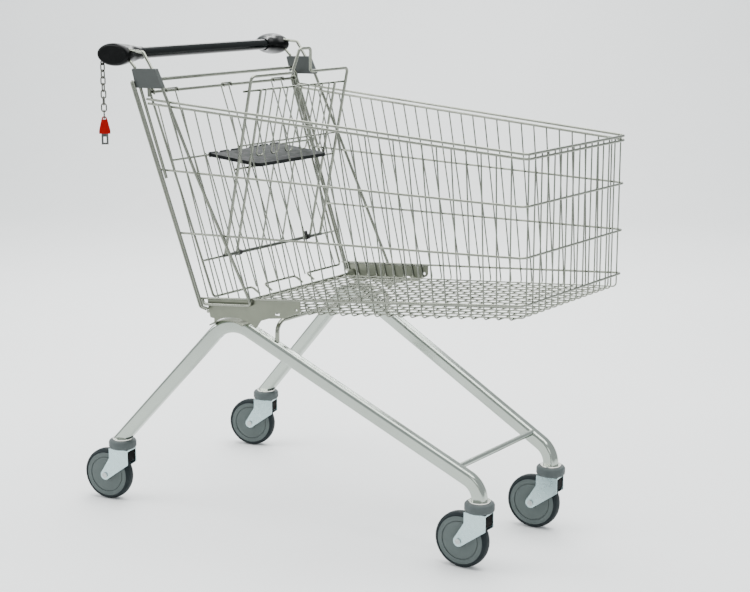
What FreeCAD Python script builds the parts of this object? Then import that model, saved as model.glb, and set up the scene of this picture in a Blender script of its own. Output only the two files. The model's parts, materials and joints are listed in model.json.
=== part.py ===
import FreeCAD, Part
import math
import os

os.makedirs("parts", exist_ok=True)

# Supermarket shopping trolley: wire basket on two bent legs, four swivel casters, a swinging rear gate
# with a folding child seat, a push handle and a coin key on a chain.
# +X is the direction of travel, +Y the user's left, +Z up. Millimetres.
# Lengths are laid out from the point midway between the front and rear casters, and every piece is
# moved by SHIFT_X at the end, so that the part's zero is under the middle of its length.
SHIFT_X = -18.0

# ---- driving dimensions -------------------------------------------------------------------------
# casters
REAR_PIVOT = (-468.8, 270.0)      # x and half track of the rear swivels
FRONT_PIVOT = (468.8, 152.4)
SWIVEL_DEG = {"rear_right": 12.3, "rear_left": 17.4, "front_right": 4.9, "front_left": 6.5}
TRAIL = 40.0
WHEEL_R = 62.5
WHEEL_W = 30.0
RIM_R = 53.5                      # where the tyre meets the wheel disc
GROOVE_R = 42.5
AXLE_R = 4.0
RUN_CLEAR = 0.06
FORK_GAP = 36.0
SHEET = 2.5
SADDLE_START = 67.0
SADDLE_SWEEP = 57.0
CROWN_TOP = 130.2
RING_Z = (131.0, 153.0)
RING_R = 33.0
DISC_R = 24.0
DISC_TOP = 156.0
STEM_R = 6.0

# legs
TUBE_W = 32.0                     # seen from the side
TUBE_T = 26.0                     # across the trolley
TUBE_CORNER = 8.0
REAR_SLOPE = math.tan(math.radians(46.6))
FRONT_SLOPE = math.tan(math.radians(25.7))
REAR_THROUGH = (-460.0, 164.0)    # a point on the rear limb's centreline
FRONT_THROUGH = (-46.9, 435.5)    # a point on the front limb's centreline
APEX_BEND = 80.0
TOE_BEND = 50.0
CROSSBAR = (418.2, 222.1, 13.0)   # x, z, diameter
TIE_D = 10.0

# basket
FRONT_X = 602.0                   # rim and hoops at the front
WIRE = 3.2
HOOP_D = 5.0
RIM_D = 5.5
RIM_GAP = 9.6                     # between the two rim wires
SIDE_WIRES = 27
TOP_PITCH = 34.1
FOOT_PITCH = 28.8
FRONT_WIRES = 16
FRONT_HALF = 194.5                # outermost front wire
REAR_HALF = 240.0                 # the same wires at the back of the floor
FLOOR_BEND = 10.0
REAR_END = -190.0                 # rear floor rod

# rear gate: runs down and forward from its hinge rod
HINGE = (-352.0, 987.4)
GATE_FOOT = (-217.9, 612.9)       # the low wire
GATE_LEN = math.hypot(GATE_FOOT[0] - HINGE[0], GATE_FOOT[1] - HINGE[1])
HINGE_ROD_D = 7.0
GATE_BARS = 5.0                   # the two horizontal bars
GATE_FRAME = 5.5
LAY_BARS = -1.3                   # layers of the gate, measured forward of the hinge plane
LAY_WIRES = -5.4
LAY_FRAME = -6.55
SEAT_BAR_AT = 160.3               # distance down the gate
GATE_END = 482.7
PAIRS = ((-212.0, -174.0), (-13.6, 13.6), (174.0, 212.0))
LOW_WIRES = (52.0, 92.0, 133.0)
BRIDGE_D = 2.9

# child seat back
PIVOT_LAY = 7.2
BACK_LEAN = math.atan2(87.1, 411.7)
BACK_D = 7.0
PIVOT_D = 7.6
BACK_HALF = 178.0
BACK_H = 420.8
GRIP_H = 56.0
INNER_HALF = 137.0
TOP_WIRE_AT = 386.0
REST_WIRE_AT = 205.1
LOOP_END_AT = 231.7
LOOP_PITCH = 26.0
CLIP_Y = 128.0
CLIP_ARM = 15.0

# seat
SEAT_LEN = 150.8
SEAT_HALF = 127.0
SEAT_T = 8.0
SEAT_DROP = math.radians(5.0)

# handle
HANDLE_X, HANDLE_Z = -417.0, 1071.0
HANDLE_R = 13.0
CAP_X, CAP_Z = -440.0, 1069.5
LOOP_D = 7.0

# coin key and chain
CHAIN_X, CHAIN_Y = -479.0, -283.0
CHAIN_TOP = 1048.6
LINK_D = 3.2
LINK_W = 14.0
LINK_PITCH = 15.3
LINKS = 8
EYE_R = 4.6
KEY_H = 33.0
KEY_T = 9.0
KEY_GAP = 2.6
TONGUE_W = 16.0
TONGUE_L = 25.0
TONGUE_T = 2.0
KEY_TURN = math.radians(45.0)
LINK_TWIST = KEY_TURN / (LINKS - 1)


# ---- helpers ------------------------------------------------------------------------------------
def V(x, y, z):
    return FreeCAD.Vector(x, y, z)


def unit(v):
    return v * (1.0 / v.Length)


def cylinder(p, q, d):
    return Part.makeCylinder(d / 2, (q - p).Length, p, q - p)


def disc(p, direction, d):
    return Part.Face(Part.Wire([Part.Circle(p, direction, d / 2).toShape()]))


def corner(p0, p1, p2, radius):
    """Tangent points, centre, axis and turn of a bend of the given radius at p1."""
    a = unit(p1 - p0)
    b = unit(p2 - p1)
    turn = a.getAngle(b)
    back = radius * math.tan(turn / 2)
    start = p1 - a * back
    end = p1 + b * back
    inward = unit(b - a)
    centre = p1 + inward * (radius / math.cos(turn / 2))
    return start, end, centre, unit(a.cross(b)), turn, a


def bent_rod(points, d, radius):
    """Straight lengths and bends of a bent wire, as solids that meet face to face."""
    pieces = []
    start = points[0]
    for i in range(1, len(points) - 1):
        s, e, centre, axis, turn, a = corner(points[i - 1], points[i], points[i + 1], radius)
        pieces.append(cylinder(start, s, d))
        pieces.append(disc(s, a, d).revolve(centre, axis, math.degrees(turn)))
        start = e
    pieces.append(cylinder(start, points[-1], d))
    return pieces


def fused(shapes):
    first = shapes[0]
    if len(shapes) > 1:
        first = first.multiFuse(shapes[1:])
    return first.removeSplitter()


def trimmed(shape, tools):
    for tool in tools:
        shape = shape.cut(tool)
    return shape


def box(lo, hi):
    return Part.makeBox(hi[0] - lo[0], hi[1] - lo[1], hi[2] - lo[2], V(*lo))


def flatten(shapes):
    """Every solid in a shape, or in a nested list of shapes."""
    if not isinstance(shapes, (list, tuple)):
        return list(shapes.Solids)
    out = []
    for s in shapes:
        out += flatten(s)
    return out


def mirrored(shapes):
    return [s.mirror(V(0, 0, 0), V(0, 1, 0)) for s in flatten(shapes)]


def save(name, shapes):
    solids = flatten(shapes)
    for s in solids:
        s.translate(V(SHIFT_X, 0, 0))
    shape = solids[0] if len(solids) == 1 else Part.makeCompound(solids)
    shape.exportStep("parts/%s.step" % name)


def prism(points, y0, y1):
    """Solid with the given x, z outline between two values of y."""
    loop = [V(x, y0, z) for x, z in points]
    return Part.Face(Part.makePolygon(loop + loop[:1])).extrude(V(0, y1 - y0, 0))


# ---- surfaces of the basket ---------------------------------------------------------------------
def side(x):
    """Half width of the basket at the centre of its upright wires."""
    return 208.5 + 0.0696 * (603.8 - x)


def rim_z(x):
    return 909.0 - 0.06726 * (x - 603.8)


def upper_z(x):
    return 805.6 - 0.01187 * (x - 600.0)


def middle_z(x):
    return 702.7 + 0.0308 * (x - 600.0)


def lower_z(x):
    return 606.2 + 0.0926 * (x - 601.7)


def floor_z(x):
    return 574.8 + 0.096 * (x - 599.0)


# ---- legs ---------------------------------------------------------------------------------------
LEG_SLANT = (REAR_PIVOT[1] - FRONT_PIVOT[1]) / (FRONT_PIVOT[0] - REAR_PIVOT[0])
LEG_MID = (REAR_PIVOT[1] + FRONT_PIVOT[1]) / 2


def leg_point(x, z):
    return V(x, -(LEG_MID - LEG_SLANT * x), z)


def leg_normal():
    return unit(V(LEG_SLANT, -1, 0))


def tube_face(p, along):
    """Rounded rectangular section of the leg tube at p, square to its run."""
    across = leg_normal()
    up = unit(along.cross(across))
    w, t, r = TUBE_W / 2, TUBE_T / 2, TUBE_CORNER
    k = r * math.sqrt(0.5)

    def at(a, b):
        return p + up * a + across * b

    edges = []
    for sa, sb in ((1, 1), (-1, 1), (-1, -1), (1, -1)):
        c = (sa * (w - r), sb * (t - r))
        tips = [at(c[0] + sa * r, c[1]), at(c[0] + sa * k, c[1] + sb * k), at(c[0], c[1] + sb * r)]
        if sa * sb < 0:
            tips.reverse()
        edges.append(tips)
    shapes = []
    for i, tips in enumerate(edges):
        shapes.append(Part.Arc(*tips).toShape())
        shapes.append(Part.makeLine(tips[2], edges[(i + 1) % 4][0]))
    return Part.Face(Part.Wire(Part.__sortEdges__(shapes)))


def leg_right():
    z_r, x_r = REAR_THROUGH[1], REAR_THROUGH[0]
    z_f, x_f = FRONT_THROUGH[1], FRONT_THROUGH[0]
    apex_x = (z_f + FRONT_SLOPE * x_f - z_r + REAR_SLOPE * x_r) / (REAR_SLOPE + FRONT_SLOPE)
    apex_z = z_r + REAR_SLOPE * (apex_x - x_r)
    low_x = REAR_PIVOT[0] - 12.0
    low = leg_point(low_x, z_r + REAR_SLOPE * (low_x - x_r))
    apex = leg_point(apex_x, apex_z)
    toe = leg_point(FRONT_PIVOT[0], z_f - FRONT_SLOPE * (FRONT_PIVOT[0] - x_f))
    foot = leg_point(FRONT_PIVOT[0], DISC_TOP)
    s1, e1, c1, ax1, t1, a1 = corner(low, apex, toe, APEX_BEND)
    s2, e2, c2, ax2, t2, a2 = corner(apex, toe, foot, TOE_BEND)
    rear = tube_face(low, a1).extrude(s1 - low)
    rear = rear.cut(box((-700, -400, 0), (0, 0, DISC_TOP)))
    top = tube_face(s1, a1).revolve(c1, ax1, math.degrees(t1))
    front = tube_face(e1, a2).extrude(s2 - e1)
    bend = tube_face(s2, a2).revolve(c2, ax2, math.degrees(t2))
    pieces = [rear, top, front, bend]
    if (e2 - foot).Length > 0.5 and e2.z > DISC_TOP:
        pieces.append(tube_face(e2, V(0, 0, -1)).extrude(foot - e2))
    else:
        pieces[3] = bend.cut(box((300, -300, 0), (600, 0, DISC_TOP)))
    return pieces, c1


LEG, APEX_CENTRE = leg_right()
save("leg_right", [s.copy() for s in LEG])
save("leg_left", mirrored(LEG))
LEG_LEFT = mirrored(LEG)

bar_x, bar_z, bar_d = CROSSBAR
bar = cylinder(V(bar_x, -155, bar_z), V(bar_x, 155, bar_z), bar_d)
save("front_crossbar", trimmed(bar, LEG + LEG_LEFT))

# tie rod: stands on both legs and joins them under the basket
knee = V(-31.0, -212.5, 490.7)
foot = V(-31.0, -213.5, 436.0)
tie = bent_rod([foot, knee, V(knee.x, -knee.y, knee.z), V(foot.x, -foot.y, foot.z)], TIE_D, 26.0)
save("cross_tie", [trimmed(s, LEG + LEG_LEFT) for s in tie])


# ---- side brackets ------------------------------------------------------------------------------
def bracket_right():
    lay = 1.5

    def at(x, z):
        return V(x, -(side(x) + lay), z)

    def top(x):
        return at(x, lower_z(x) - HOOP_D / 2 - 0.1)

    outline = [top(-188.0), at(-185.7, 510.7), at(-181.0, 490.0), at(-170.5, 489.0), at(-170.5, 480.0)]
    edges = [Part.makeLine(outline[i], outline[i + 1]) for i in range(len(outline) - 1)]
    arc_end = at(-55.0, 480.0)
    edges.append(Part.Arc(outline[-1], at(-112.0, 497.0), arc_end).toShape())
    rest = [arc_end, at(-42.0, 498.0), at(-20.0, 505.7), at(21.0, 511.3), at(47.7, 522.4),
            at(60.0, 528.0), at(64.0, 534.0), top(64.0), top(-188.0)]
    edges += [Part.makeLine(rest[i], rest[i + 1]) for i in range(len(rest) - 1)]
    out = unit(V(-0.0696, -1, 0))
    sheet = Part.Face(Part.Wire(edges)).extrude(out * SHEET)
    hole = cylinder(at(53.4, 534.0) - out * 5, at(53.4, 534.0) + out * 8, 7.0)
    slot = [cylinder(at(x, 518.6) - out * 5, at(x, 518.6) + out * 8, 6.0) for x in (-1.5, 7.0)]
    slot.append(box((-1.5, -(side(0) + 8), 515.6), (7.0, -(side(0) - 4), 521.6)))
    sheet = trimmed(sheet, [hole] + slot)
    # saddle curved over the top of the leg
    n = leg_normal()
    r0 = APEX_BEND + TUBE_W / 2
    first = math.radians(SADDLE_START)
    run = unit(V(1, LEG_SLANT, 0))
    ray_dir = run * math.cos(first) + V(0, 0, 1) * math.sin(first)
    base = APEX_CENTRE + ray_dir * r0 - n * 14.0
    loop = [base, base + ray_dir * SHEET, base + ray_dir * SHEET + n * 52.0, base + n * 52.0]
    saddle = Part.Face(Part.makePolygon(loop + loop[:1])).revolve(APEX_CENTRE, n, SADDLE_SWEEP)
    edge = [at(-260.0, 400.0), at(60.0, 400.0), V(60.0, -400.0, 400.0), V(-260.0, -400.0, 400.0)]
    outside = Part.Face(Part.makePolygon(edge + edge[:1])).extrude(V(0, 0, 200.0))
    boss = cylinder(at(-176.0, 505.0) - out * 6, at(-176.0, 505.0), 24.0)
    return [sheet, saddle.cut(outside), boss]


BRACKET = flatten(bracket_right())


# ---- basket rim and hoops -----------------------------------------------------------------------
def band(height, lay, d, x0, bend):
    """Wire round both sides and the front, open at the back."""
    fx = FRONT_X
    pts = [V(x0, -(side(x0) + lay), height(x0)), V(fx, -(side(fx) + lay), height(fx)),
           V(fx, side(fx) + lay, height(fx)), V(x0, side(x0) + lay, height(x0))]
    return bent_rod(pts, d, bend)


RIM_TOP = band(rim_z, 0.0, RIM_D, -350.5, 14.0)
RIM_LOW = band(lambda x: rim_z(x) - RIM_GAP, 0.0, RIM_D, -347.0, 14.0)
save("rim_wires", [s.copy() for s in RIM_TOP + RIM_LOW])
LAY_HOOP = (WIRE + HOOP_D) / 2
save("hoop_upper", band(upper_z, LAY_HOOP, HOOP_D, -322.0, 18.0))
save("hoop_middle", band(middle_z, LAY_HOOP, HOOP_D, -266.0, 18.0))
save("hoop_lower", band(lower_z, LAY_HOOP, HOOP_D, -212.0, 18.0))

right, left, cross = [], [], []
for i in range(1, SIDE_WIRES + 1):
    k = SIDE_WIRES + 1 - i
    xt = FRONT_X - TOP_PITCH * k
    xb = FRONT_X - 4.0 - FOOT_PITCH * k
    top_z = rim_z(xt) - RIM_GAP
    pts = [V(xt, -side(xt), top_z), V(xb, -side(xb), floor_z(xb)), V(xb, side(xb), floor_z(xb)),
           V(xt, side(xt), top_z)]
    wire = bent_rod(pts, WIRE, FLOOR_BEND)
    right += [wire[0].cut(RIM_LOW[0]), wire[1]]
    cross.append(wire[2])
    left += [wire[4].cut(RIM_LOW[4]), wire[3]]
BRACKET[2] = trimmed(BRACKET[2], right)
save("side_bracket_right", [s.copy() for s in BRACKET])
save("side_bracket_left", mirrored(BRACKET))
BRACKET_PAIR = BRACKET + mirrored(BRACKET)
save("side_wires_right", right)
save("side_wires_left", left)
save("floor_cross_wires", cross)

front, along = [], []
wall_x = FRONT_X - (WIRE + RIM_D) / 2
lift = WIRE + 0.05
for i in range(FRONT_WIRES):
    f = 2.0 * i / (FRONT_WIRES - 1) - 1.0
    pts = [V(wall_x, f * FRONT_HALF, rim_z(FRONT_X) + 1.0),
           V(wall_x, f * FRONT_HALF, floor_z(wall_x) + lift),
           V(REAR_END + 4.0, f * REAR_HALF, floor_z(REAR_END + 4.0) + lift)]
    wire = bent_rod(pts, WIRE, FLOOR_BEND)
    front += wire[:2]
    along.append(wire[2])
save("front_wires", front)
save("floor_long_wires", along)
rod_z = floor_z(REAR_END) + lift
rod_y = side(REAR_END) + 1.4
rear_rod = cylinder(V(REAR_END, -rod_y, rod_z), V(REAR_END, rod_y, rod_z), 8.0)
save("floor_rear_rod", trimmed(rear_rod, BRACKET_PAIR))


# ---- rear posts, handle loops, corner plates -----------------------------------------------------
def post_right():
    d, gap = 6.0, 3.05
    top = V(-382.1, -286.6, 1008.5)
    low = V(-201.5, -274.1, 513.0)
    run = unit(low - top)
    aside = unit(V(run.z, 0, -run.x))
    tail = V(16.0, 1.2, -3.0)
    out = []
    for s in (-1, 1):
        p = top + aside * (s * gap)
        q = low + aside * (s * gap)
        out += bent_rod([p, q, q + tail], d, 7.0)
    turn_from = top + aside * gap
    axis = aside.cross(run) * -1
    cap = disc(turn_from, run, d).revolve(top, axis, 180)
    if cap.BoundBox.ZMax < top.z + gap:
        cap = disc(turn_from, run, d).revolve(top, axis * -1, 180)
    return out + [cap]


POST = flatten(post_right())
save("rear_post_right", [s.copy() for s in POST])
save("rear_post_left", mirrored(POST))

strut = bent_rod([V(-416, -277.5, 1082), V(-356.5, -276.8, 1077.6), V(-300, -276.8, 999),
                  V(-209, -276.3, 818),
                  V(-60.5, -265.3, 531.5), V(-193, -274.3, 520.5), V(-197.5, -274.6, 532.5)], LOOP_D, 7.5)
branch = bent_rod([V(-404, -279, 1064), V(-382, -279, 1043.7), V(-290, -282.3, 799.0)], LOOP_D, 9.0)
LOOP = flatten([strut, branch])
save("handle_loop_right", [s.copy() for s in LOOP])
save("handle_loop_left", mirrored(LOOP))

plate = prism([(-388, 1040), (-317, 1042.5), (-295, 999), (-376, 997.5)], -284.0, -271.0)
plate = plate.makeFillet(3.0, [e for e in plate.Edges if e.BoundBox.YLength > 12.0])
plate = plate.makeFillet(1.2, [e for e in plate.Edges if e.BoundBox.YLength < 0.1])
PLATE = trimmed(plate, LOOP + POST)
save("corner_plates", [PLATE.copy()] + mirrored(PLATE))

# ---- upper rods ---------------------------------------------------------------------------------
upper = bent_rod([V(-350, -267.0, 977.5), V(-352, -266.0, 1000), V(-352, -252, 1014.6),
                  V(-352, 252, 1014.6),
                  V(-352, 266.0, 1000), V(-350, 267.0, 977.5)], 8.0, 9.0)
save("upper_cross_rod", [trimmed(s, [RIM_TOP[0], RIM_TOP[4]]) for s in upper])
hinge_rod = cylinder(V(HINGE[0], -262.3, HINGE[1]), V(HINGE[0], 262.3, HINGE[1]), HINGE_ROD_D)
save("hinge_rod", trimmed(hinge_rod, upper))


# ---- handle -------------------------------------------------------------------------------------
def ellipse(cx, y, cz, a, b):
    if abs(a - b) < 0.01:
        return Part.Wire([Part.Circle(V(cx, y, cz), V(0, 1, 0), a).toShape()])
    e = Part.Ellipse(V(cx + a, y, cz), V(cx, y, cz + b), V(cx, y, cz))
    return Part.Wire([e.toShape()])


sections = [ellipse(CAP_X, -291.5, CAP_Z, 44.0, 20.5), ellipse(CAP_X, -287.0, CAP_Z, 49.5, 25.2),
            ellipse(CAP_X, -274.0, CAP_Z, 49.0, 25.4), ellipse(CAP_X + 6, -256.0, CAP_Z + 0.5, 38.0, 22.0),
            ellipse(HANDLE_X - 4, -238.0, HANDLE_Z, 22.5, 17.0),
            ellipse(HANDLE_X, -221.0, HANDLE_Z, 15.5, 15.0)]
cap = Part.makeLoft(sections, True, False)
CAP = trimmed(cap, LOOP)
save("handle_cap_left", mirrored([CAP]))
save("handle_tube", cylinder(V(HANDLE_X, -221, HANDLE_Z), V(HANDLE_X, 221, HANDLE_Z), 2 * HANDLE_R))


# ---- chain and coin key -------------------------------------------------------------------------
def turned(shape, angle, x=CHAIN_X, y=CHAIN_Y):
    out = shape.copy()
    out.rotate(V(0, 0, 0), V(0, 0, 1), math.degrees(angle))
    out.translate(V(x, y, 0))
    return out


def link(z_top):
    """Oval chain link in the x, z plane; z_top is the centre of its top wire."""
    r = (LINK_W - LINK_D) / 2
    height = LINK_PITCH + 0.3 + LINK_D
    z_low = z_top - height
    sides = [cylinder(V(s * r, 0, z_low + r), V(s * r, 0, z_top - r), LINK_D) for s in (-1, 1)]
    up = disc(V(r, 0, z_top - r), V(0, 0, 1), LINK_D).revolve(V(0, 0, z_top - r), V(0, -1, 0), 180)
    low = disc(V(r, 0, z_low + r), V(0, 0, 1), LINK_D).revolve(V(0, 0, z_low + r), V(0, 1, 0), 180)
    return fused(sides + [up, low])


def eye(z_wire, up):
    """Ring in the x, z plane; z_wire is the centre of the wire that the chain pulls on."""
    return Part.makeTorus(EYE_R, LINK_D / 2, V(0, 0, z_wire + up * EYE_R), V(0, 1, 0))


CAP_RIGHT = fused([CAP, turned(eye(CHAIN_TOP - LINK_D - 0.3, 1), 0)])
save("handle_cap_right", CAP_RIGHT)
links = []
for k in range(LINKS):
    links.append(turned(link(CHAIN_TOP - LINK_PITCH * k), (k + 1) * math.pi / 2 - k * LINK_TWIST))
save("chain", links)

pin_z = CHAIN_TOP - LINK_PITCH * LINKS
key_top = pin_z - LINK_D - KEY_GAP
key_foot = key_top - KEY_H
body = prism([(-7.0, key_top), (7.0, key_top), (12.4, key_foot + 10.0), (13.0, key_foot + 6.0),
              (13.0, key_foot),
              (-13.0, key_foot), (-13.0, key_foot + 6.0), (-12.4, key_foot + 10.0)], -KEY_T / 2, KEY_T / 2)
body = body.makeFillet(1.5, [e for e in body.Edges if e.BoundBox.YLength > 8.0])
body = body.makeFillet(1.0, [e for e in body.Edges if e.BoundBox.YLength < 0.1])
save("key_grip", turned(fused([body, eye(pin_z, -1)]), KEY_TURN))
tongue = box((-TONGUE_W / 2, -TONGUE_T / 2, key_foot - TONGUE_L), (TONGUE_W / 2, TONGUE_T / 2, key_foot))
slot = box((-3.4, -3, key_foot - 20.5), (3.4, 3, key_foot - 7.0))
save("key_tongue", turned(tongue.cut(slot), KEY_TURN))


# ---- rear gate ----------------------------------------------------------------------------------
DOWN = unit(V(GATE_FOOT[0] - HINGE[0], 0, GATE_FOOT[1] - HINGE[1]))
AHEAD = V(-DOWN.z, 0, DOWN.x)


def gate(s, lay, y):
    p = V(HINGE[0], 0, HINGE[1]) + DOWN * s + AHEAD * lay
    return V(p.x, y, p.z)


def hook(y, lay, d, sweep):
    """Open eye over the hinge rod, from the rear of the rod over its top."""
    return disc(gate(0, lay, y), DOWN, d).revolve(gate(0, 0, y), V(0, 1, 0), sweep)


frame, wires = [], []
for s in (-1, 1):
    top = gate(0, LAY_FRAME, s * 255.5)
    low = gate(GATE_END, LAY_FRAME, s * 238.5)
    inner = gate(GATE_END, LAY_FRAME, s * 103.0)
    curl = inner + AHEAD * 17.0 + DOWN * 20.0
    frame += bent_rod([top, low, inner, curl], GATE_FRAME, 8.0)
    frame.append(hook(s * 255.5, LAY_FRAME, GATE_FRAME, 235))
foot_l = gate(GATE_END, LAY_FRAME, -58.0)
foot_r = gate(GATE_END, LAY_FRAME, 58.0)
curl = AHEAD * 17.0 + DOWN * 20.0
frame += bent_rod([foot_l + curl, foot_l, foot_r, foot_r + curl], GATE_FRAME, 8.0)
for pair in PAIRS:
    tops = []
    for y in pair:
        wires.append(cylinder(gate(0, LAY_WIRES, y), gate(GATE_END + 2, LAY_WIRES + 2.75, y), WIRE))
        tops.append(hook(y, LAY_WIRES, WIRE, 235))
    bridge = cylinder(gate(LAY_WIRES, 0, pair[0]), gate(LAY_WIRES, 0, pair[1]), BRIDGE_D)
    wires += tops + [trimmed(bridge, tops)]
for y in LOW_WIRES:
    for s in (-1, 1):
        wires.append(cylinder(gate(SEAT_BAR_AT - 6, LAY_WIRES, s * y),
                              gate(GATE_END + 2, LAY_WIRES + 2.75, s * y), WIRE))
save("gate_frame", [s.copy() for s in frame])
seat_bar = cylinder(gate(SEAT_BAR_AT, LAY_BARS, -251.0), gate(SEAT_BAR_AT, LAY_BARS, 251.0), GATE_BARS)
low_bar = cylinder(gate(GATE_LEN, LAY_BARS, -243.5), gate(GATE_LEN, LAY_BARS, 243.5), GATE_BARS)
save("gate_bars", [seat_bar.copy(), low_bar.copy()])
save("gate_wires", [trimmed(s, frame + [seat_bar, low_bar]) for s in wires])

# pivot clips: grip the low bar and carry the seat back's bar
pivot = gate(GATE_LEN, PIVOT_LAY, 0)
PIVOT_X, PIVOT_Z = pivot.x, pivot.z
clips = []
for s in (-1, 1):
    y0 = s * CLIP_Y - 5.0
    a = gate(GATE_LEN, LAY_BARS, y0)
    b = gate(GATE_LEN, PIVOT_LAY, y0)
    w = V(0, 10.0, 0)
    low = cylinder(a, a + w, 10.5)
    high = cylinder(b, b + w, 12.5)
    web_pts = [a + DOWN * 5.0, b + DOWN * 6.0, b - DOWN * 6.0, a - DOWN * 5.0]
    web = Part.Face(Part.makePolygon(web_pts + web_pts[:1])).extrude(w)
    bore = cylinder(b - w, b + w * 2, PIVOT_D + 2 * RUN_CLEAR)
    arm_from = b - AHEAD * 1.5
    arm_pts = [arm_from - DOWN * 5.0, arm_from - DOWN * CLIP_ARM, b + AHEAD * 4.5 - DOWN * CLIP_ARM,
               b + AHEAD * 4.5 - DOWN * 4.0]
    arm = Part.Face(Part.makePolygon(arm_pts + arm_pts[:1])).extrude(V(0, 4.0, 0))
    clips.append(trimmed(fused([low, high, web, arm]), [bore, low_bar] + wires))
save("pivot_clips", clips)

# ---- child seat back ----------------------------------------------------------------------------
RISE = V(math.sin(BACK_LEAN), 0, math.cos(BACK_LEAN))
FORE = V(RISE.z, 0, -RISE.x)


def back(t, lay, y):
    p = V(PIVOT_X, 0, PIVOT_Z) + RISE * t + FORE * lay
    return V(p.x, y, p.z)


h = BACK_H
legs = bent_rod([back(0, 0, -BACK_HALF), back(h, 0, -BACK_HALF), back(h, 0, -34), back(h + GRIP_H, 0, -20),
                 back(h + GRIP_H, 0, 20), back(h, 0, 34), back(h, 0, BACK_HALF), back(0, 0, BACK_HALF)],
                BACK_D, 11.0)
pivot_bar = cylinder(back(0, 0, -183), back(0, 0, 183), PIVOT_D)
save("back_frame", [trimmed(s, [pivot_bar]) for s in legs])
save("back_pivot_bar", pivot_bar.copy())
lay_cross = -(BACK_D + GATE_BARS) / 2
top_wire = cylinder(back(TOP_WIRE_AT, lay_cross, -190), back(TOP_WIRE_AT, lay_cross, 190), GATE_BARS)
mid_wire = cylinder(back(259.0, lay_cross, -182), back(259.0, lay_cross, 182), 4.0)
rest_wire = cylinder(back(REST_WIRE_AT, lay_cross, -183), back(REST_WIRE_AT, lay_cross, 183), GATE_BARS)
uprights = []
lay_in = lay_cross + (GATE_BARS + 6.0) / 2
for s in (-1, 1):
    uprights.append(cylinder(back(0, 0, s * INNER_HALF),
    back(TOP_WIRE_AT + 3, lay_in, s * INNER_HALF), 6.0))
for y in (-48.0, 28.0):
    uprights.append(cylinder(back(0, 0, y), back(REST_WIRE_AT + 0.5, lay_cross + 4.5, y), 4.0))
loop_d = 3.5
lay_loop = lay_cross + (GATE_BARS + loop_d) / 2
for k in range(-2, 3):
    y0, y1 = (2 * k - 0.5) * LOOP_PITCH, (2 * k + 0.5) * LOOP_PITCH
    t0 = LOOP_END_AT
    uprights += bent_rod([back(TOP_WIRE_AT + 3, lay_loop, y0), back(t0, lay_loop, y0),
                          back(t0, lay_loop, y1),
                          back(TOP_WIRE_AT + 3, lay_loop, y1)], loop_d, 9.0)
cross_wires = [top_wire, mid_wire, rest_wire]
save("back_uprights", [trimmed(s, [pivot_bar] + cross_wires) for s in uprights])
save("back_cross_wires", [trimmed(s, legs) for s in cross_wires])

# ---- seat panel ---------------------------------------------------------------------------------
hinge = gate(SEAT_BAR_AT, LAY_BARS, 0)
FLAT = V(math.cos(SEAT_DROP), 0, -math.sin(SEAT_DROP))
OVER = V(math.sin(SEAT_DROP), 0, math.cos(SEAT_DROP))


def seat(a, b, y):
    p = hinge + FLAT * a + OVER * b
    return V(p.x, y, p.z)


half_t = SEAT_T / 2
loop = [seat(5.0, -half_t, -SEAT_HALF), seat(SEAT_LEN, -half_t, -SEAT_HALF),
        seat(SEAT_LEN, half_t, -SEAT_HALF),
        seat(5.0, half_t, -SEAT_HALF)]
panel = Part.Face(Part.makePolygon(loop + loop[:1])).extrude(V(0, 2 * SEAT_HALF, 0))
panel = panel.makeFillet(10.0, [e for e in panel.Edges if e.Length < SEAT_T + 0.01
                                and e.CenterOfMass.x > hinge.x + 100])
knuckles = []
for lo in (21.0, 60.0, 100.0):
    for s in (-1, 1):
        a, b = sorted((s * lo, s * (lo + 24.0)))
        knuckles.append(cylinder(seat(0, 0, a), seat(0, 0, b), 12.5))
        rib = [seat(0, -half_t, a), seat(8, -half_t, a), seat(8, half_t, a), seat(0, half_t, a)]
        knuckles.append(Part.Face(Part.makePolygon(rib + rib[:1])).extrude(V(0, b - a, 0)))
clear = cylinder(seat(0, 0, -SEAT_HALF - 2), seat(0, 0, SEAT_HALF + 2), GATE_BARS + 2 * RUN_CLEAR)
save("seat_panel", fused([panel] + knuckles).cut(clear))


# ---- casters ------------------------------------------------------------------------------------
def spun(profile, x, z):
    """Turn an outline of radius, width pairs about an axle along y at x, z."""
    loop = [V(x, w, z + r) for r, w in profile]
    return Part.Face(Part.makePolygon(loop + loop[:1])).revolve(V(x, 0, z), V(0, 1, 0), 360)


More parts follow.
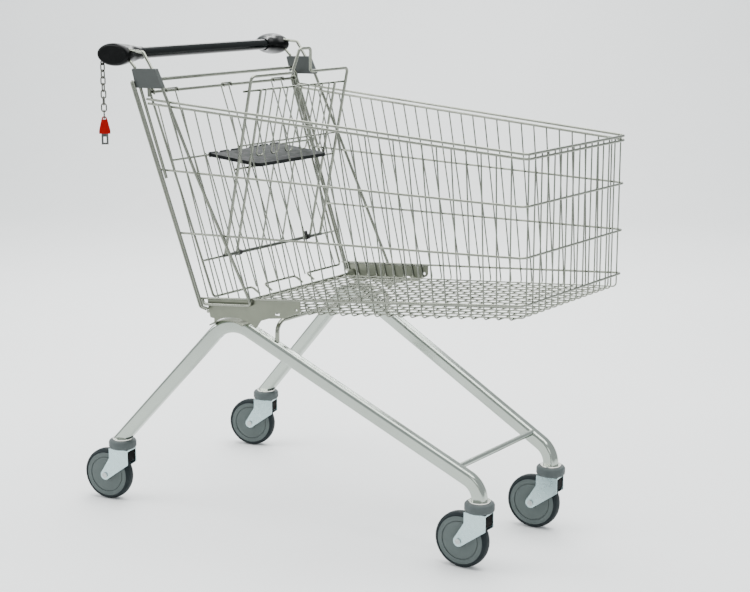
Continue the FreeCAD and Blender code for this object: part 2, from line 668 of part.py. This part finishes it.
def caster():
    ax, az = -TRAIL, WHEEL_R
    gap = FORK_GAP / 2
    crown = box((-27, -gap - SHEET, CROWN_TOP - 3.2), (24, gap + SHEET, CROWN_TOP))
    cheek = [(-27, CROWN_TOP), (24, CROWN_TOP), (24, 94), (ax + 8.5, az - 8.5),
             (ax - 8.5, az + 8.5), (-27, 106)]
    parts = [crown]
    for y in (-gap - SHEET, gap):
        parts.append(prism(cheek, y, y + SHEET))
        parts.append(cylinder(V(ax, y, az), V(ax, y + SHEET, az), 24.0))
    parts.append(cylinder(V(0, 0, CROWN_TOP - 1), V(0, 0, 147), 2 * STEM_R))
    fork = fused(parts)
    fork = fork.cut(cylinder(V(ax, -40, az), V(ax, 40, az), 2 * AXLE_R))
    guard = box((13.5, -gap, 99), (22.5, gap, CROWN_TOP - 3.2))
    guard = guard.makeFillet(3.0, [e for e in guard.Edges if e.BoundBox.ZLength < 1
                                   and e.BoundBox.YLength > 30 and e.CenterOfMass.z < 110])
    head = gap + SHEET
    axle = fused([cylinder(V(ax, -head - 3, az), V(ax, head + 3, az), 2 * AXLE_R),
                  cylinder(V(ax, -head - 3, az), V(ax, -head, az), 13.0),
                  cylinder(V(ax, head, az), V(ax, head + 3, az), 13.0)])
    w = WHEEL_W / 2
    r = WHEEL_R
    tyre = spun([(RIM_R, -w + 2), (RIM_R + 1.5, -w + 0.4), (r - 6, -w + 0.8), (r - 2, -w + 4.5),
                 (r - 0.4, -w + 9),
                 (r, -w + 12), (r, w - 12), (r - 0.4, w - 9), (r - 2, w - 4.5), (r - 6, w - 0.8),
                 (RIM_R + 1.5, w - 0.4), (RIM_R, w - 2)], ax, az)
    bore = AXLE_R + RUN_CLEAR
    g = GROOVE_R
    half = [(RIM_R, w - 2), (g + 1.2, w - 2), (g + 1.2, w - 4), (g - 1.2, w - 4), (g - 1.2, w - 2.6),
            (15, w - 2.6), (13, gap - 0.6), (bore, gap - 0.6)]
    hub = spun([(a, b) for a, b in half] + [(a, -b) for a, b in reversed(half)], ax, az)
    return {"fork": fork, "guard": guard, "axle": axle, "tyre": tyre, "wheel": hub}


rings, discs = [], []
unit_parts = caster()
for where, angle in SWIVEL_DEG.items():
    px, py = REAR_PIVOT if where.startswith("rear") else FRONT_PIVOT
    py = -py if where.endswith("right") else py
    for name, shape in unit_parts.items():
        save("%s_%s" % (name, where), turned(shape, math.radians(angle), px, py))
    ring = Part.makeCylinder(RING_R, RING_Z[1] - RING_Z[0], V(px, py, RING_Z[0]))
    ring = ring.makeFillet(7.0, [e for e in ring.Edges if e.Length > 100])
    rings.append(ring.cut(Part.makeCylinder(STEM_R + RUN_CLEAR, 18, V(px, py, RING_Z[0] - 1))))
    discs.append(Part.makeCylinder(DISC_R, DISC_TOP - RING_Z[1], V(px, py, RING_Z[1])))
save("bumper_rings", rings)
save("leg_discs", discs)
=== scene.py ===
import bpy
import bmesh
import json
import math
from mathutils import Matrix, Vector

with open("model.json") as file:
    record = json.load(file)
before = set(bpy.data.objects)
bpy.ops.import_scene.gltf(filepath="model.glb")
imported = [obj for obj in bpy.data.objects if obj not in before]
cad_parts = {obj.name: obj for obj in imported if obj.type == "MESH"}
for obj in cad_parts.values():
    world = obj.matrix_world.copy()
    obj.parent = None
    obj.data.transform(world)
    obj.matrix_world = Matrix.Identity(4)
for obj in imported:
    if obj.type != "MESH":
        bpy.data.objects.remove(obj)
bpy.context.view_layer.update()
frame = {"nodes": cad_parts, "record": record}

nodes = frame["nodes"]

# ---------------------------------------------------------------- camera
CAMERA_AT = (2.16061, -2.90760, 1.29286)
AZIMUTH = math.radians(35.7586)
ELEVATION = math.radians(12.0808)
SENSOR_WIDTH = 36.0
LENS = 76.7346

cam_data = bpy.data.cameras.new("camera")
cam_data.sensor_width = SENSOR_WIDTH
cam_data.lens = LENS
camera = bpy.data.objects.new("camera", cam_data)
bpy.context.collection.objects.link(camera)
camera.location = CAMERA_AT
back = Vector((math.sin(AZIMUTH) * math.cos(ELEVATION),
               -math.cos(AZIMUTH) * math.cos(ELEVATION),
               math.sin(ELEVATION)))
camera.rotation_mode = "QUATERNION"
camera.rotation_quaternion = (-back).to_track_quat("-Z", "Y")
bpy.context.scene.camera = camera


# ---------------------------------------------------------------- materials
NOISE_LOW = 0.3
NOISE_HIGH = 0.7
CLOUD_ROUGH = 0.6
METAL_RELIEF = 0.0004
PLASTIC_RELIEF = 0.0002


def new_material(name):
    """Empty node material: the material, its node tree and its shader."""
    m = bpy.data.materials.new(name)
    m.use_nodes = True
    nt = m.node_tree
    return m, nt, nt.nodes["Principled BSDF"]


def ramp(nt, source, stops):
    """Colour ramp over source; stops are (position, colour) from low to high."""
    r = nt.nodes.new("ShaderNodeValToRGB")
    r.color_ramp.elements[0].position = stops[0][0]
    r.color_ramp.elements[0].color = (*stops[0][1], 1)
    r.color_ramp.elements[1].position = stops[-1][0]
    r.color_ramp.elements[1].color = (*stops[-1][1], 1)
    for at, colour in stops[1:-1]:
        e = r.color_ramp.elements.new(at)
        e.color = (*colour, 1)
    nt.links.new(source, r.inputs["Fac"])
    return r.outputs["Color"]


def noise(nt, scale, detail, rough):
    """Noise in the object's own coordinates."""
    coord = nt.nodes.new("ShaderNodeTexCoord")
    n = nt.nodes.new("ShaderNodeTexNoise")
    n.inputs["Scale"].default_value = scale
    n.inputs["Detail"].default_value = detail
    n.inputs["Roughness"].default_value = rough
    nt.links.new(coord.outputs["Object"], n.inputs["Vector"])
    return n.outputs["Fac"]


def spread(nt, source, low, high):
    """The middle of a noise, stretched from low to high."""
    r = nt.nodes.new("ShaderNodeMapRange")
    r.inputs["From Min"].default_value = NOISE_LOW
    r.inputs["From Max"].default_value = NOISE_HIGH
    r.inputs["To Min"].default_value = low
    r.inputs["To Max"].default_value = high
    nt.links.new(source, r.inputs["Value"])
    return r.outputs["Result"]


def bump(nt, shader, source, strength, distance):
    """Fine relief on the shader's normal; distance in metres."""
    b = nt.nodes.new("ShaderNodeBump")
    b.inputs["Strength"].default_value = strength
    b.inputs["Distance"].default_value = distance
    nt.links.new(source, b.inputs["Height"])
    nt.links.new(b.outputs["Normal"], shader.inputs["Normal"])


def scale_colour(c, k):
    return tuple(min(1.0, v * k) for v in c)


def metal(name, colour, rough, scale, vary=0.08, grain=0.04):
    """Metal with cloudy colour and gloss and a faint grain."""
    m, nt, b = new_material(name)
    b.inputs["Metallic"].default_value = 1.0
    stops = [(0.28, scale_colour(colour, 1 - vary * 1.6)), (0.5, colour),
             (0.75, scale_colour(colour, 1 + vary))]
    cloud = noise(nt, scale, 5.0, CLOUD_ROUGH)
    nt.links.new(ramp(nt, cloud, stops), b.inputs["Base Color"])
    smears = noise(nt, scale * 3.1, 4.0, CLOUD_ROUGH)
    nt.links.new(spread(nt, smears, rough * 0.75, rough * 1.3), b.inputs["Roughness"])
    bump(nt, b, noise(nt, scale * 9.0, 3.0, CLOUD_ROUGH), grain, METAL_RELIEF)
    return m


def plastic(name, colour, rough, scale, vary, grain, shine, ior=1.5):
    """Plastic or rubber with a moulded grain."""
    m, nt, b = new_material(name)
    stops = [(NOISE_LOW, scale_colour(colour, 1 - vary)),
             (NOISE_HIGH, scale_colour(colour, 1 + vary))]
    cloud = noise(nt, scale, 4.0, 0.55)
    nt.links.new(ramp(nt, cloud, stops), b.inputs["Base Color"])
    smears = noise(nt, scale * 2.3, 4.0, CLOUD_ROUGH)
    nt.links.new(spread(nt, smears, rough * 0.8, rough * 1.2), b.inputs["Roughness"])
    b.inputs["Specular IOR Level"].default_value = shine
    b.inputs["IOR"].default_value = ior
    bump(nt, b, noise(nt, scale * 40.0, 2.0, 0.5), grain, PLASTIC_RELIEF)
    return m


# slot: colour, roughness, noise scale, colour variation, grain
METALS = {
    "wire_zinc": ((0.235, 0.247, 0.208), 0.19, 14.0, 0.07),
    "leg_silver": ((0.365, 0.402, 0.362), 0.17, 5.0, 0.05, 0.02),
    "fork_zinc": ((0.43, 0.555, 0.57), 0.28, 30.0, 0.03),
    "axle_steel": ((0.42, 0.45, 0.45), 0.28, 90.0),
    "disc_chrome": ((0.74, 0.74, 0.69), 0.13, 40.0, 0.06),
    "bracket_steel": ((0.200, 0.213, 0.168), 0.36, 12.0, 0.07),
    "key_steel": ((0.105, 0.107, 0.103), 0.30, 80.0),
    "chain_zinc": ((0.105, 0.105, 0.092), 0.26, 90.0, 0.12),
    "bar_dark": ((0.085, 0.09, 0.08), 0.33, 60.0),
}
# slot: colour, roughness, noise scale, colour variation, grain, specular level, index of refraction
PLASTICS = {
    "ring_grey": ((0.070, 0.083, 0.083), 0.55, 30.0, 0.1, 0.15, 0.5, 1.3),
    "tyre": ((0.011, 0.016, 0.018), 0.55, 30.0, 0.12, 0.12, 0.4, 1.25),
    "wheel_disc": ((0.082, 0.101, 0.098), 0.40, 25.0, 0.06, 0.12, 0.4, 1.35),
    "guard_black": ((0.002, 0.002, 0.002), 0.55, 40.0, 0.15, 0.15, 0.3, 1.12),
    "plate_grey": ((0.050, 0.056, 0.054), 0.42, 30.0, 0.06, 0.12, 0.5, 1.3),
    "cap_black": ((0.002, 0.0024, 0.0024), 0.20, 30.0, 0.2, 0.08, 0.3, 1.25),
    "handle_black": ((0.002, 0.0034, 0.0034), 0.12, 30.0, 0.2, 0.03, 0.35, 1.35),
    "seat_black": ((0.009, 0.0105, 0.0105), 0.40, 30.0, 0.2, 0.3, 0.5, 1.12),
    "clip_black": ((0.006, 0.006, 0.006), 0.4, 40.0, 0.15, 0.25, 0.25),
    "key_red": ((0.27, 0.002, 0.0015), 0.35, 60.0, 0.1, 0.1, 0.08),
}
MATERIALS = {slot: metal(slot, *look) for slot, look in METALS.items()}
MATERIALS.update({slot: plastic(slot, *look) for slot, look in PLASTICS.items()})

slots = {s["node"]: s["material_slot"] for s in frame["record"]["subparts"]}
for name, obj in nodes.items():
    obj.data.materials.clear()
    obj.data.materials.append(MATERIALS[slots[name]])


# ---------------------------------------------------------------- floor, backdrop and light
PAPER_DARK = (0.87, 0.885, 0.88)
PAPER_LIGHT = (0.90, 0.915, 0.91)
PAPER_ROUGH = 0.75
SKY_COLOUR = (0.80, 0.84, 0.86, 1)
SKY_STRENGTH = 0.98


def backdrop():
    """Paper sweep: a flat floor that curves up behind the trolley, as the camera sees it."""
    across, depth, rise, radius, near = 16.0, 4.2, 6.5, 2.2, -4.5
    profile = [(near, 0.0)]
    steps = 24
    for i in range(steps + 1):
        a = math.pi / 2 * i / steps
        profile.append((depth + radius * math.sin(a), radius * (1 - math.cos(a))))
    profile.append((depth + radius, rise))
    bm = bmesh.new()
    rows = [[bm.verts.new((x, d, z)) for x in (-across / 2, across / 2)] for d, z in profile]
    for a, b in zip(rows, rows[1:]):
        bm.faces.new((a[0], a[1], b[1], b[0]))
    mesh = bpy.data.meshes.new("backdrop")
    bm.to_mesh(mesh)
    bm.free()
    for p in mesh.polygons:
        p.use_smooth = True
    obj = bpy.data.objects.new("backdrop", mesh)
    obj.rotation_euler = (0, 0, AZIMUTH)
    bpy.context.collection.objects.link(obj)
    m, nt, b = new_material("paper")
    stops = [(NOISE_LOW, PAPER_DARK), (NOISE_HIGH, PAPER_LIGHT)]
    nt.links.new(ramp(nt, noise(nt, 0.9, 3.0, 0.5), stops), b.inputs["Base Color"])
    b.inputs["Roughness"].default_value = PAPER_ROUGH
    mesh.materials.append(m)


def area_light(name, at, target, size, power):
    """White rectangular light at a point, aimed at the target; power in watts."""
    data = bpy.data.lights.new(name, "AREA")
    data.shape = "RECTANGLE"
    data.size, data.size_y = size
    data.energy = power
    obj = bpy.data.objects.new(name, data)
    bpy.context.collection.objects.link(obj)
    obj.location = at
    obj.rotation_mode = "QUATERNION"
    obj.rotation_quaternion = (Vector(target) - Vector(at)).to_track_quat("-Z", "Y")


backdrop()
area_light("overhead", (0.0, 0.4, 3.6), (0, 0.1, 0), (4.5, 3.6), 300)
area_light("left_window", (-3.2, -2.2, 2.2), (0, 0, 0.5), (2.2, 2.2), 85)
area_light("right_fill", (2.6, -3.6, 2.4), (0.1, 0, 0.5), (1.6, 1.6), 20)
area_light("backdrop_wash", (-1.2, 2.6, 3.4), (-3.0, 4.6, 1.6), (3.5, 1.6), 150)
area_light("handle_streak", (-1.57, 2.4, 2.5), (-0.4, 0.0, 1.07), (2.6, 0.4), 34)

world = bpy.data.worlds.new("studio")
bpy.context.scene.world = world
world.use_nodes = True
world.node_tree.nodes["Background"].inputs["Color"].default_value = SKY_COLOUR
world.node_tree.nodes["Background"].inputs["Strength"].default_value = SKY_STRENGTH
